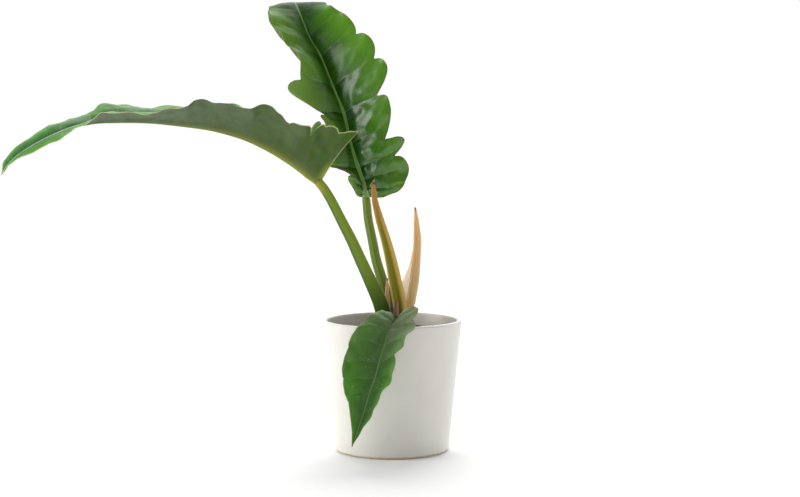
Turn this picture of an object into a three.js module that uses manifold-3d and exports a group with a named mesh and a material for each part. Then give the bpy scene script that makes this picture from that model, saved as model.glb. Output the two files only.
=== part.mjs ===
// A philodendron with long, wavy-lobed leaves, growing in a plain round pot.
// Millimetres, +Z up. The origin is the centre of the pot's foot, on the surface it stands on.
// The upright leaf shows its glossy face to the front, which is -Y, and the long leaf arches to -X.
import * as THREE from 'three';
import Module from 'manifold-3d';
import { mergeVertices } from 'three/addons/utils/BufferGeometryUtils.js';

const wasm = await Module();
wasm.setup();

// Driving dimensions
const GAP = 0.3;
const POT = { height: 132, rimRadius: 70, footRadius: 57, wall: 4.6, floor: 6, footRound: 4, sides: 48 };
const SOIL = { level: 117, lump: 1.5, sides: 40, rings: 7 };
const CROWN = { x: 2, y: 0, radius: 21, bottom: 92, top: 122, sides: 28 };
const BLADE = { thickness: 0.8, rowsPerVein: 4, columns: 4, tipCut: 0.12, ribShoulder: 0.55, ribLimit: 0.8 };
const STALK = { sides: 12, rings: 15, straightEnd: 5 };
const VEIN_STEP = 0.02;

const FRONT = [0, -1, 0];
const RIGHT = [1, 0, 0];
const UP = [0, 0, 1];

const vector = ([x, y, z]) => new THREE.Vector3(x, y, z);
const curve = (points) => new THREE.CatmullRomCurve3(points, false, 'catmullrom', 0.5);

// The value at t of a broken line through [t, value] knots.
function between(knots, t) {
  let i = 0;
  while (i < knots.length - 2 && t > knots[i + 1][0]) i += 1;
  const [t0, v0] = knots[i];
  const [t1, v1] = knots[i + 1];
  return THREE.MathUtils.lerp(v0, v1, THREE.MathUtils.clamp((t - t0) / (t1 - t0), 0, 1));
}

function geometryOf(points, index) {
  const geometry = new THREE.BufferGeometry();
  const places = points.flatMap((p) => [p.x, p.y, p.z]);
  geometry.setAttribute('position', new THREE.Float32BufferAttribute(places, 3));
  geometry.setIndex(index);
  return geometry;
}

// Rings of points joined one after the other, with a fan over each end.
function loft(rings) {
  const sides = rings[0].length;
  const last = (rings.length - 1) * sides;
  const index = [];
  for (let i = 0; i + 1 < rings.length; i += 1) {
    for (let j = 0; j < sides; j += 1) {
      const a = i * sides + j;
      const b = i * sides + ((j + 1) % sides);
      index.push(a, b, b + sides, a, b + sides, a + sides);
    }
  }
  for (let j = 1; j + 1 < sides; j += 1) {
    index.push(0, j + 1, j);
    index.push(last, last + j, last + j + 1);
  }
  return geometryOf(rings.flat(), index);
}

// The triangles of a net of rows and columns, every cell split along the same diagonal.
function net(rows, columns, start, faceDown) {
  const index = [];
  for (let i = 0; i + 1 < rows; i += 1) {
    for (let j = 0; j + 1 < columns; j += 1) {
      const a = start + i * columns + j;
      const [b, c, d] = [a + 1, a + columns + 1, a + columns];
      if (faceDown) index.push(a, c, b, a, d, c);
      else index.push(a, b, c, a, c, d);
    }
  }
  return index;
}

// An upper and a lower net of the same size, closed all round by a narrow wall.
function slab(upper, lower) {
  const [rows, columns] = [upper.length, upper[0].length];
  const size = rows * columns;
  const index = [...net(rows, columns, 0, false), ...net(rows, columns, size, true)];
  const border = [];
  for (let j = 0; j < columns - 1; j += 1) border.push(j);
  for (let i = 0; i < rows - 1; i += 1) border.push(i * columns + columns - 1);
  for (let j = columns - 1; j > 0; j -= 1) border.push((rows - 1) * columns + j);
  for (let i = rows - 1; i > 0; i -= 1) border.push(i * columns);
  border.forEach((p, k) => {
    const q = border[(k + 1) % border.length];
    index.push(p, p + size, q + size, p, q + size, q);
  });
  return geometryOf([...upper.flat(), ...lower.flat()], index);
}

// A profile turned round the Z axis; its points are [radius, height].
function turned(points, sides) {
  const geometry = new THREE.LatheGeometry(points.map(([r, z]) => new THREE.Vector2(r, z)), sides);
  geometry.rotateX(Math.PI / 2);
  geometry.deleteAttribute('normal');
  geometry.deleteAttribute('uv');
  return mergeVertices(geometry, 1e-3);
}

// A closed mesh as a solid that can be cut, and a solid as a mesh.
function toSolid(geometry) {
  const corners = geometry.index.array;
  const triVerts = [];
  for (let i = 0; i < corners.length; i += 3) {
    const [a, b, c] = [corners[i], corners[i + 1], corners[i + 2]];
    if (a !== b && b !== c && c !== a) triVerts.push(a, b, c);
  }
  const vertProperties = Float32Array.from(geometry.attributes.position.array);
  const mesh = new wasm.Mesh({ numProp: 3, vertProperties, triVerts: Uint32Array.from(triVerts) });
  return new wasm.Manifold(mesh);
}

function toGeometry(solid) {
  const mesh = solid.getMesh();
  const geometry = new THREE.BufferGeometry();
  geometry.setAttribute('position', new THREE.BufferAttribute(mesh.vertProperties, mesh.numProp));
  geometry.setIndex(new THREE.BufferAttribute(mesh.triVerts, 1));
  return geometry;
}

const plant = new THREE.Group();

function add(name, geometry, color, roughness) {
  const mesh = new THREE.Mesh(geometry, new THREE.MeshStandardMaterial({ color, roughness, metalness: 0 }));
  mesh.name = name;
  plant.add(mesh);
}

// Blades. A blade is spread over its midrib and its two margins. t counts the side veins from the
// stalk to the tip, and each row of a list of veins is one of them: the point where it leaves the
// midrib, and where it meets the left and the right margin, seen on the glossy side with the tip up.
// The lobes are cut along rows, which lie squarer to the midrib than the veins do: on its way out a
// row slips towards the stalk by the margin's slant. A list of notches holds [row, depth] along one
// margin, and the lobes between them are half rounds that lean to the tip by the power `lean`. The
// spread is the share of the way out that the first rows go, where the blade widens from the stalk.
function reach({ spread, notches }, lean, row) {
  const next = Math.max(1, notches.findIndex(([at]) => at > row));
  const [row0, depth0] = notches[next - 1];
  const [row1, depth1] = notches[next];
  const q = THREE.MathUtils.clamp((row - row0) / (row1 - row0), 0, 1);
  const round = Math.sqrt(Math.max(0, 1 - (2 * q ** lean - 1) ** 2));
  return between(spread, row) * (1 - THREE.MathUtils.lerp(depth0, depth1, q) * (1 - round));
}

// 0 at both ends of the way out from the midrib, and 1 at two thirds of it.
const bowShape = (w) => 6.75 * w ** 2 * (1 - w);

// The glossy face runs straight from midrib to margin, and is lifted along its own normal: by an
// arch across each half, by a swelling between every two veins, whose powers keep it full up to a
// sharp crease, and by a ruffle at the margin. A vein bows towards the stalk on its way out, so its
// middle lies on the lines of an earlier t. s is 0 at the midrib and 1 at the margin.
function glossyFace(blade) {
  const tip = blade.veins.length - 1;
  const [midrib, left, right] = [0, 1, 2].map((k) => curve(blade.veins.map((row) => vector(row[k]))));
  const flat = (t, side, w) => {
    const u = THREE.MathUtils.clamp(t / tip, 0, 1);
    return midrib.getPoint(u).lerp((side < 0 ? left : right).getPoint(u), w);
  };
  const along = (t, side, w) => (
    flat(t + VEIN_STEP, side, w).sub(flat(t - VEIN_STEP, side, w)).normalize()
  );
  const across = (t, side) => flat(t, side, 1).sub(flat(t, side, 0));
  const half = (side) => (side < 0 ? blade.left : blade.right);
  const wayOut = (row, side) => reach(half(side), between(blade.lean, row), row);
  const slipped = (row, side, w) => row - between(half(side).slant, row) * w;
  const point = (row, side, s) => {
    const w = s * wayOut(row, side);
    const t = slipped(row, side, w);
    const vein = t + between(blade.bow, t) * bowShape(w);
    const normal = across(t, side).multiplyScalar(side).cross(along(t, side, w)).normalize();
    const arch = 4 * w * (1 - w);
    const swelling = Math.abs(Math.sin(Math.PI * vein)) ** 0.7 * arch ** 0.6;
    const ruffle = w ** 4 * Math.sin(2 * Math.PI * vein);
    const lift = between(blade.arch, t) * arch + between(blade.swelling, t) * swelling
      + between(blade.ruffle, t) * ruffle;
    return flat(t, side, w).addScaledVector(normal, lift);
  };
  // The midrib's half width as a share of the row's way out, up to a limit.
  const ribShare = (row, side) => {
    const out = wayOut(row, side);
    const end = flat(slipped(row, side, out), side, out);
    const width = end.sub(flat(row, side, 0)).cross(along(row, side, 0)).length();
    return Math.min(BLADE.ribLimit, between(blade.rib, row) / width);
  };
  // The way out of the glossy side at the midrib, square to it and to the span of both halves.
  const ribNormal = (t) => flat(t, 1, 1).sub(flat(t, -1, 1)).cross(along(t, 1, 0)).normalize();
  return { tip, point, ribShare, ribNormal };
}

// The blade's dull underside is the same net, pushed back by its thickness and by the midrib, which
// is round: half a circle deep in the middle and at its shoulder.
// A grown blade is larger by a gap on both faces and at its first row, to cut a stalk's end with.
function bladeGeometry(blade, grow = 0) {
  const { tip, point, ribShare, ribNormal } = glossyFace(blade);
  const rowCount = tip * BLADE.rowsPerVein + 1;
  const rows = Array.from({ length: rowCount }, (_, i) => {
    const t = Math.min(i / BLADE.rowsPerVein, tip - BLADE.tipCut);
    const rib = between(blade.rib, t);
    const shoulderDepth = rib * Math.sqrt(1 - BLADE.ribShoulder ** 2);
    const half = (side) => {
      const share = ribShare(t, side);
      const cells = [{ place: point(t, side, BLADE.ribShoulder * share), depth: shoulderDepth }];
      for (let k = 0; k <= BLADE.columns; k += 1) {
        cells.push({ place: point(t, side, THREE.MathUtils.lerp(share, 1, k / BLADE.columns)), depth: 0 });
      }
      return cells;
    };
    return [...half(-1).reverse(), { place: point(t, 1, 0), depth: rib }, ...half(1)];
  });
  const places = rows.flatMap((row) => row.map((cell) => cell.place));
  const face = geometryOf(places, net(rows.length, rows[0].length, 0, false));
  face.computeVertexNormals();
  const backwards = point(0, 1, 0).sub(point(0.5, 1, 0)).normalize();
  const pushed = (distance, ribbed) => rows.map((row, i) => row.map((cell, j) => {
    const normal = new THREE.Vector3().fromBufferAttribute(face.attributes.normal, i * row.length + j);
    return cell.place.clone()
      .addScaledVector(normal, distance)
      .addScaledVector(ribNormal(i / BLADE.rowsPerVein), -ribbed * cell.depth)
      .addScaledVector(backwards, i === 0 ? grow : 0);
  }));
  return slab(pushed(grow, 0), pushed(-BLADE.thickness - grow, 1));
}

// The upright leaf leans a little to -X, folds over backwards at the top and hangs down behind.
const upright = {
  veins: [
    [[-26, 24, 253], [-31, 24, 253], [-21, 24, 253]],
    [[-27, 25, 257], [-37, 20, 256], [-4, 14, 255]],
    [[-28, 26, 262], [-45, 17, 273], [12, 8, 265]],
    [[-30, 28, 270], [-54, 15, 277], [17, 8, 289]],
    [[-34, 30, 282], [-74, 17, 291], [12, 10, 313]],
    [[-42, 35, 306], [-69, 21, 325], [-1, 16, 345]],
    [[-49, 43, 337], [-105, 24, 359], [-4, 26, 384]],
    [[-60, 51, 363], [-94, 34, 390], [-21, 38, 413]],
    [[-73, 62, 395], [-113, 48, 416], [-40, 54, 433]],
    [[-85, 72, 415], [-126, 62, 434], [-58, 74, 445]],
    [[-97, 92, 443], [-128, 98, 447], [-69, 98, 452]],
    [[-103, 115, 454], [-132, 128, 445], [-66, 128, 445]],
    [[-102, 140, 447], [-131, 150, 433], [-69, 150, 433]],
    [[-99, 164, 418], [-119, 170, 416], [-75, 172, 408]],
    [[-91, 178, 392], [-101, 181, 394], [-80, 183, 388]],
    [[-83, 186, 366], [-83, 186, 366], [-83, 186, 366]],
  ],
  left: {
    spread: [[0, 1], [15, 1]],
    slant: [[0, 0], [15, 0]],
    notches: [[0, 0], [2.5, 0.5], [5.5, 0.47], [6.5, 0.18], [8, 0.04], [15, 0]],
  },
  right: {
    spread: [[0, 1], [15, 1]],
    slant: [[0, 0], [4, 0.3], [10, 0.3], [14, 0], [15, 0]],
    notches: [[0, 0], [3.75, 0.26], [4.5, 0.32], [5.75, 0.3], [6.75, 0.17], [7.75, 0.17],
      [9.75, 0.03], [11.5, 0.1], [13, 0.1], [15, 0]],
  },
  lean: [[0, 2], [5.5, 2], [7, 1.35], [15, 1.35]],
  bow: [[0, 0], [4, 0.25], [6, 0.4], [8, 0.15], [15, 0]],
  arch: [[0, 0], [3, 3], [9, 4], [13, 2], [15, 0]],
  swelling: [[0, 0], [2, 2], [4, 3], [10, 3], [13, 1.2], [15, 0]],
  ruffle: [[0, 0], [3, 2], [9, 2], [13, 1], [15, 0]],
  rib: [[0, 4.2], [2, 2.8], [7, 2.4], [10, 1.5], [13, 1], [15, 0.6]],
};

// The long leaf is folded up along its midrib like a gutter, and arches out to -X.
const arching = {
  veins: [
    [[-71, -18, 270], [-31, -44, 321], [-46, -2, 316]],
    [[-74, -18, 273], [-38, -46, 321], [-52, -1, 319]],
    [[-78, -19, 276], [-47, -47, 321], [-57, 0, 321]],
    [[-82, -20, 279], [-59, -49, 327], [-64, 1, 325]],
    [[-88, -21, 284], [-72, -51, 328], [-72, 2, 331]],
    [[-100, -23, 293], [-89, -54, 328], [-90, 2, 319]],
    [[-120, -26, 305], [-116, -58, 345], [-118, 4, 340]],
    [[-144, -29, 316], [-147, -62, 344], [-152, 6, 346]],
    [[-173, -31, 324], [-179, -66, 351], [-184, 6, 346]],
    [[-202, -32, 328], [-206, -68, 343], [-215, 4, 345]],
    [[-236, -32, 331], [-243, -68, 338], [-255, 4, 344]],
    [[-268, -31, 331], [-274, -62, 339], [-286, 2, 348]],
    [[-295, -29, 329], [-301, -54, 325], [-312, 0, 334]],
    [[-323, -26, 321], [-330, -42, 309], [-340, -3, 326]],
    [[-354, -23, 306], [-360, -33, 296], [-368, -9, 308]],
    [[-375, -20, 291], [-378, -24, 286], [-383, -15, 292]],
    [[-386, -18, 277], [-386, -18, 277], [-386, -18, 277]],
  ],
  left: {
    spread: [[0, 0.1], [2, 1], [16, 1]],
    slant: [[0, 0], [2, 2], [6, 0.35], [12, 0.35], [15, 0], [16, 0]],
    notches: [[0, 0], [2, 0], [3.5, 0.08], [4.25, 0.06], [4.75, 0.34], [5.75, 0.26], [7.25, 0.02],
      [8.25, 0.02], [9.5, 0.04], [11.75, 0.04], [13.25, 0.03], [16, 0]],
  },
  right: {
    spread: [[0, 0.1], [2, 1], [16, 1]],
    slant: [[0, 0], [2, 2], [6, 0.35], [12, 0.35], [15, 0], [16, 0]],
    notches: [[0, 0], [2, 0], [3.5, 0.1], [4.5, 0.12], [5.5, 0.12], [6.25, 0.1], [7, 0.08],
      [8.5, 0.06], [10, 0.06], [11.75, 0.22], [13.25, 0.06], [16, 0]],
  },
  lean: [[0, 1.35], [16, 1.35]],
  bow: [[0, 0], [3, 0.15], [12, 0.3], [16, 0]],
  arch: [[0, 0], [4, 2], [9, 3], [13, 1], [16, 0]],
  swelling: [[0, 0], [4, 0.2], [6, 1], [8, 1.4], [13, 1], [16, 0]],
  ruffle: [[0, 0], [4, 0.6], [6, 2], [12, 1.2], [16, 0]],
  rib: [[0, 4.6], [5, 4.8], [7, 4], [9, 3], [11, 2], [13, 1.1], [16, 0.6]],
};

// The smaller leaf hangs down in front of the pot, its glossy face outwards.
const hanging = {
  veins: [
    [[5, -66, 140], [10, -68, 146], [0, -66, 146]],
    [[4, -70, 139], [17, -68, 152], [-7, -68, 148]],
    [[1, -76, 137], [26, -72, 150], [-17, -78, 147]],
    [[-3, -84, 131], [23, -75, 134], [-32, -90, 136]],
    [[-7, -91, 118], [12, -80, 119], [-43, -96, 116]],
    [[-12, -95, 102], [4, -83, 100], [-47, -99, 95]],
    [[-16, -97, 87], [0, -86, 83], [-46, -100, 78]],
    [[-21, -98, 73], [-10, -89, 70], [-42, -100, 64]],
    [[-26, -99, 56], [-18, -92, 52], [-39, -100, 47]],
    [[-32, -100, 38], [-29, -97, 35], [-38, -100, 32]],
    [[-38, -100, 21], [-38, -100, 21], [-38, -100, 21]],
  ],
  left: {
    spread: [[0, 1], [10, 1]],
    slant: [[0, 0], [3, 0.3], [7, 0.3], [10, 0]],
    notches: [[0, 0], [2.75, 0.24], [3.75, 0.2], [4.75, 0.34], [7, 0.03], [10, 0]],
  },
  right: {
    spread: [[0, 1], [10, 1]],
    slant: [[0, 0], [3, 0.3], [7, 0.3], [10, 0]],
    notches: [[0, 0], [2.75, 0.05], [4.25, 0.06], [5.75, 0.04], [7.25, 0.05], [10, 0]],
  },
  lean: [[0, 1.7], [4.75, 1.7], [6, 1.35], [10, 1.35]],
  bow: [[0, 0], [3, 0.3], [7, 0.4], [10, 0]],
  arch: [[0, 0], [3, 2], [7, 2], [10, 0]],
  swelling: [[0, 0], [2, 0.8], [7, 0.8], [10, 0]],
  ruffle: [[0, 0], [2, 1.2], [7, 0.8], [10, 0]],
  rib: [[0, 3], [1.5, 1.6], [4, 0.9], [10, 0.5]],
};

add('blade_upright', bladeGeometry(upright), 0x3f7a2a, 0.3);
add('blade_arching', bladeGeometry(arching), 0x6c8458, 0.55);
add('blade_hanging', bladeGeometry(hanging), 0x3d6339, 0.42);

// Stalks and sheaths. Each follows a path from its foot in the crown, and its section is an
// ellipse: `across` and `deep` give the half sizes along the path, from 0 at the foot to 1 at the
// end, and deep is measured in the direction that the stalk faces. A keel is a ridge on that side.
function stalkGeometry(stalk, grow = 0) {
  const path = curve(stalk.path);
  const facing = vector(stalk.facing);
  const rings = Array.from({ length: STALK.rings + 1 }, (_, i) => {
    const u = i / STALK.rings;
    const tangent = path.getTangentAt(u);
    const side = new THREE.Vector3().crossVectors(tangent, facing).normalize();
    const face = new THREE.Vector3().crossVectors(side, tangent);
    const centre = path.getPointAt(u).addScaledVector(tangent, i === 0 ? -grow : 0);
    const across = between(stalk.across, u) + grow;
    const deep = between(stalk.deep, u) + grow;
    return Array.from({ length: STALK.sides }, (_, j) => {
      const angle = (2 * Math.PI * j) / STALK.sides;
      const ridge = 1 + (stalk.keel ?? 0) * Math.max(0, -Math.sin(angle)) ** 6;
      return centre.clone()
        .addScaledVector(side, across * Math.cos(angle))
        .addScaledVector(face, -deep * ridge * Math.sin(angle));
    });
  });
  return loft(rings);
}

// The last stretch of a stalk, straight on into the round back of its blade's midrib, a gap short.
function stalkEnd(blade) {
  const { point, ribNormal } = glossyFace(blade);
  const along = point(0.5, 1, 0).sub(point(0, 1, 0)).normalize();
  const back = point(0, 1, 0).addScaledVector(ribNormal(0), -0.5 * blade.rib[0][1]);
  return [STALK.straightEnd + GAP, GAP].map((way) => back.clone().addScaledVector(along, -way));
}

const stalks = {
  petiole_upright: {
    blade: upright,
    path: [[-1, 13, 112], [-1, 13, 126], [-3, 12.5, 138], [-6, 12, 155], [-10, 13, 170], [-16, 16, 190],
      [-20, 19, 210], [-24, 23, 230]].map(vector).concat(stalkEnd(upright)),
    facing: FRONT,
    across: [[0, 5.5], [0.3, 5.4], [0.7, 4.6], [1, 4.2]],
    deep: [[0, 5.2], [0.3, 5], [1, 4.2]],
    color: 0x6f8f45,
    roughness: 0.45,
  },
  petiole_arching: {
    blade: arching,
    path: [[-5, -3, 112], [-6, -3, 126], [-9, -3.5, 139], [-13, -5, 152], [-22, -8, 172], [-31, -11, 192],
      [-40, -13, 212], [-50, -15, 232], [-60, -17, 252]].map(vector).concat(stalkEnd(arching)),
    facing: RIGHT,
    across: [[0, 5.4], [0.3, 5.4], [1, 4.6]],
    deep: [[0, 7.4], [0.2, 7.6], [0.4, 6.2], [0.75, 5], [1, 4.6]],
    color: 0x5f8a2c,
    roughness: 0.45,
  },
  petiole_hanging: {
    blade: hanging,
    path: [[-4, -13.2, 112], [-3.5, -15, 121], [-2.5, -20, 127], [-1, -30, 131.5], [1.5, -44, 135],
      [3.5, -56, 137]].map(vector).concat(stalkEnd(hanging)),
    facing: UP,
    across: [[0, 3.4], [1, 3]],
    deep: [[0, 3.4], [1, 2.8]],
    color: 0x5f8a2c,
    roughness: 0.45,
  },
  young_sheath: {
    path: [[11, -5, 112], [10, -5, 126], [9, -5, 137], [7, -5, 152], [3, -6, 172], [-1, -7, 192],
      [-6, -8, 212], [-12, -9, 232], [-17, -10, 252], [-18.5, -10, 270]].map(vector),
    facing: FRONT,
    across: [[0, 6.2], [0.25, 6.8], [0.4, 6.3], [0.63, 5], [0.76, 4.2], [0.88, 3.1], [0.97, 2.1], [1, 1.2]],
    deep: [[0, 4.8], [0.25, 5], [0.63, 4], [0.88, 2.6], [0.97, 1.8], [1, 1]],
    keel: 0.22,
    color: 0xa59a45,
    roughness: 0.5,
  },
  old_sheath: {
    path: [[-4, 4, 112], [-5, 4, 126], [-5, 3.6, 136], [-5, 3.2, 146], [-5, 3, 156], [-5, 3, 166],
      [-4.5, 3, 173]].map(vector),
    facing: FRONT,
    across: [[0, 3], [0.6, 3], [0.8, 1.8], [1, 0.7]],
    deep: [[0, 0.8], [1, 0.6]],
    color: 0xc79a6a,
    roughness: 0.7,
  },
  bud: {
    path: [[4, -13, 112], [4, -13, 125], [4, -13, 137], [4.5, -13, 146], [5, -12.8, 153]].map(vector),
    facing: FRONT,
    across: [[0, 3], [0.7, 2.9], [0.9, 1.8], [1, 0.8]],
    deep: [[0, 2.2], [0.7, 2], [0.9, 1.4], [1, 0.7]],
    color: 0xa9763f,
    roughness: 0.6,
  },
};
for (const [name, stalk] of Object.entries(stalks)) {
  const geometry = stalk.blade
    ? toGeometry(toSolid(stalkGeometry(stalk)).subtract(toSolid(bladeGeometry(stalk.blade, GAP))))
    : stalkGeometry(stalk);
  add(name, geometry, stalk.color, stalk.roughness);
}

// The dried sheath is a thin boat, open to -X, whose back flange spreads into a wing. Its section
// is an arc of `turn` each way from the spine, drawn in to a solid foot and to a solid tip.
const drySheath = {
  path: [[16, 4, 112], [16, 4, 126], [17, 4, 143], [19, 3.6, 151], [22, 3, 171], [24, 3, 191], [25, 4, 211],
    [24, 4, 231], [23, 4, 244]].map(vector),
  facing: FRONT,
  across: [[0, 4.4], [0.25, 4.8], [0.45, 5.2], [0.6, 4.6], [0.75, 4.4], [0.9, 3], [1, 0.9]],
  deep: [[0, 2.9], [0.4, 3.6], [0.75, 3], [0.9, 2.2], [1, 0.8]],
  wing: [[0, 0], [0.25, 1], [0.42, 8], [0.6, 1.5], [0.7, 0], [1, 0]],
  hollow: [[0, 0.05], [0.2, 0.5], [0.45, 0.68], [0.75, 0.5], [0.9, 0.2], [1, 0.05]],
  turn: 2.6,
  arcSteps: 8,
};

function drySheathGeometry(sheath) {
  const path = curve(sheath.path);
  const facing = vector(sheath.facing);
  const rings = Array.from({ length: STALK.rings + 1 }, (_, i) => {
    const u = i / STALK.rings;
    const tangent = path.getTangentAt(u);
    const side = new THREE.Vector3().crossVectors(tangent, facing).normalize();
    const face = new THREE.Vector3().crossVectors(side, tangent);
    const place = (step, scale) => {
      const angle = sheath.turn * ((2 * step) / sheath.arcSteps - 1);
      const spread = Math.max(0, angle / sheath.turn) ** 2 * between(sheath.wing, u);
      return path.getPointAt(u)
        .addScaledVector(side, scale * between(sheath.across, u) * Math.cos(angle) - spread)
        .addScaledVector(face, -scale * between(sheath.deep, u) * Math.sin(angle));
    };
    const steps = Array.from({ length: sheath.arcSteps + 1 }, (_, k) => k);
    const outer = steps.map((k) => place(k, 1));
    const inner = steps.map((k) => place(k, between(sheath.hollow, u)));
    return [...outer, ...inner.reverse()];
  });
  return loft(rings);
}

add('dry_sheath', drySheathGeometry(drySheath), 0xcfa873, 0.7);

// The crown is the short stem in the soil, with a socket for the foot of each stalk and sheath.
const crownProfile = (grow) => [
  [0, CROWN.bottom - grow],
  [0.65 * CROWN.radius, CROWN.bottom + 2 - grow],
  [0.9 * CROWN.radius + grow, CROWN.bottom + 8],
  [CROWN.radius + grow, CROWN.top - 11],
  [0.95 * CROWN.radius + grow, CROWN.top - 4],
  [0.7 * CROWN.radius, CROWN.top - 1 + grow],
  [0.35 * CROWN.radius, CROWN.top + grow],
  [0, CROWN.top + grow],
];
const crownSolid = (grow) => (
  toSolid(turned(crownProfile(grow), CROWN.sides)).translate([CROWN.x, CROWN.y, 0])
);
const sockets = Object.values(stalks).map((stalk) => toSolid(stalkGeometry(stalk, GAP)));
sockets.push(toSolid(stalkGeometry(drySheath, GAP)));
const crown = sockets.reduce((solid, socket) => solid.subtract(socket), crownSolid(0));
add('crown', toGeometry(crown), 0x6b6a3a, 0.7);

// Pot: one turned shell with a flat foot, straight leaning sides and a rounded lip.
const outerRadius = (z) => POT.footRadius + ((POT.rimRadius - POT.footRadius) * z) / POT.height;
const innerRadius = (z) => outerRadius(z) - POT.wall;
const insideFoot = POT.floor + POT.footRound;

function potProfile() {
  const lip = POT.wall / 2;
  const lipZ = POT.height - lip;
  const path = new THREE.Path();
  path.moveTo(0, 0);
  path.lineTo(POT.footRadius - POT.footRound, 0);
  path.quadraticCurveTo(POT.footRadius, 0, outerRadius(POT.footRound), POT.footRound);
  path.lineTo(outerRadius(lipZ), lipZ);
  path.absarc(outerRadius(lipZ) - lip, lipZ, lip, 0, Math.PI, false);
  path.lineTo(innerRadius(insideFoot), insideFoot);
  path.quadraticCurveTo(innerRadius(POT.floor), POT.floor, innerRadius(POT.floor) - POT.footRound, POT.floor);
  path.lineTo(0, POT.floor);
  return path.getPoints(3).map((p) => [p.x, p.y]);
}

add('pot', turned(potProfile(), POT.sides), 0xf1f0ec, 0.5);

// Soil: it fills the pot up to its lumpy top, and has a plain hole where the crown stands.
function soilSolid() {
  const edge = innerRadius(SOIL.level) - GAP;
  const bottom = POT.floor + GAP;
  const profile = [
    [0, bottom],
    [innerRadius(bottom) - POT.footRound - GAP, bottom],
    [innerRadius(insideFoot) - GAP, insideFoot + GAP],
    [edge, SOIL.level],
  ];
  for (let k = SOIL.rings - 1; k >= 0; k -= 1) profile.push([(edge * k) / SOIL.rings, SOIL.level]);
  const geometry = turned(profile, SOIL.sides);
  const places = geometry.attributes.position;
  for (let i = 0; i < places.count; i += 1) {
    const [x, y, z] = [places.getX(i), places.getY(i), places.getZ(i)];
    const lumps = Math.sin(0.21 * x + 0.4) * Math.cos(0.17 * y) + 0.5 * Math.sin(0.43 * y - 0.31 * x);
    if (z > SOIL.level - 1 && Math.hypot(x, y) < edge - 1) places.setZ(i, z + SOIL.lump * lumps);
  }
  return toSolid(geometry).subtract(crownSolid(GAP));
}

add('soil', toGeometry(soilSolid()), 0x3b2a1e, 0.95);

export default plant;
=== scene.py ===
"""A philodendron with long, wavy-lobed leaves in a plain round pot. Sizes are in millimetres and are divided
by 1000 where Blender takes metres, apart from the studio's, which are in metres. The camera looks along +Y,
and the long leaf arches to -X."""
import math

import bpy
import numpy as np
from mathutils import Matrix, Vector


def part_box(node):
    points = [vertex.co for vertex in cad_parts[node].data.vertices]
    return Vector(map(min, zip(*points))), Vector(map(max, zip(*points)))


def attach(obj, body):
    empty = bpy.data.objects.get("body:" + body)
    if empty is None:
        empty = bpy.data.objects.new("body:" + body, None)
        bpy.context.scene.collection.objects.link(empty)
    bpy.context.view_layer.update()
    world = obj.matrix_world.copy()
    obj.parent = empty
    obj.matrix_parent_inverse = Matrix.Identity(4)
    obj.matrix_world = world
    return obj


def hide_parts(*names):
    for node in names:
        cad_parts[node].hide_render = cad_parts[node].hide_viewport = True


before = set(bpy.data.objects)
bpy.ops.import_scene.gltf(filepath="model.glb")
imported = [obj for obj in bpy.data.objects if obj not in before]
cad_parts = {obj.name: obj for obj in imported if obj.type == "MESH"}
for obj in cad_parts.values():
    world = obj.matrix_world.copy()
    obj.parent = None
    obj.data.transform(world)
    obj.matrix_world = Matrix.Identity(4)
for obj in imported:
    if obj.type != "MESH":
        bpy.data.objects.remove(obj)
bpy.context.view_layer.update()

# Pot: a slip-cast shell with straight leaning sides, a rounded lip and a flat foot. It is dipped in a satin
# white glaze, which stops just above the foot, where the fired clay stays bare.
pot_high = np.array(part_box("pot")[1]) * 1000
POT_HEIGHT = pot_high[2]
RIM_RADIUS = pot_high[0]
FOOT_RADIUS = 57
WALL = 4.6
POT_FLOOR = 6
FOOT_ROUND = 4
PAST_ROUND = 1
INNERMOST = 4
POT_SIDES = 192
BARE_CLAY = 2.6
GLAZE_EDGE = 0.6
GLAZE_WANDERS = 1.2


class Value:
    """An output of a shader node. Python's operators on it add the Math nodes that work the result out."""

    def __init__(self, finish, socket):
        self.finish = finish
        self.socket = socket

    def math(self, operation, *inputs):
        return self.finish.node("Math", {"operation": operation}, dict(enumerate(inputs)))

    def __add__(self, other):
        return self.math("ADD", self, other)

    def __radd__(self, other):
        return self.math("ADD", other, self)

    def __sub__(self, other):
        return self.math("SUBTRACT", self, other)

    def __rsub__(self, other):
        return self.math("SUBTRACT", other, self)

    def __mul__(self, other):
        return self.math("MULTIPLY", self, other)

    def __rmul__(self, other):
        return self.math("MULTIPLY", other, self)

    def __abs__(self):
        return self.math("ABSOLUTE", self)


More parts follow.
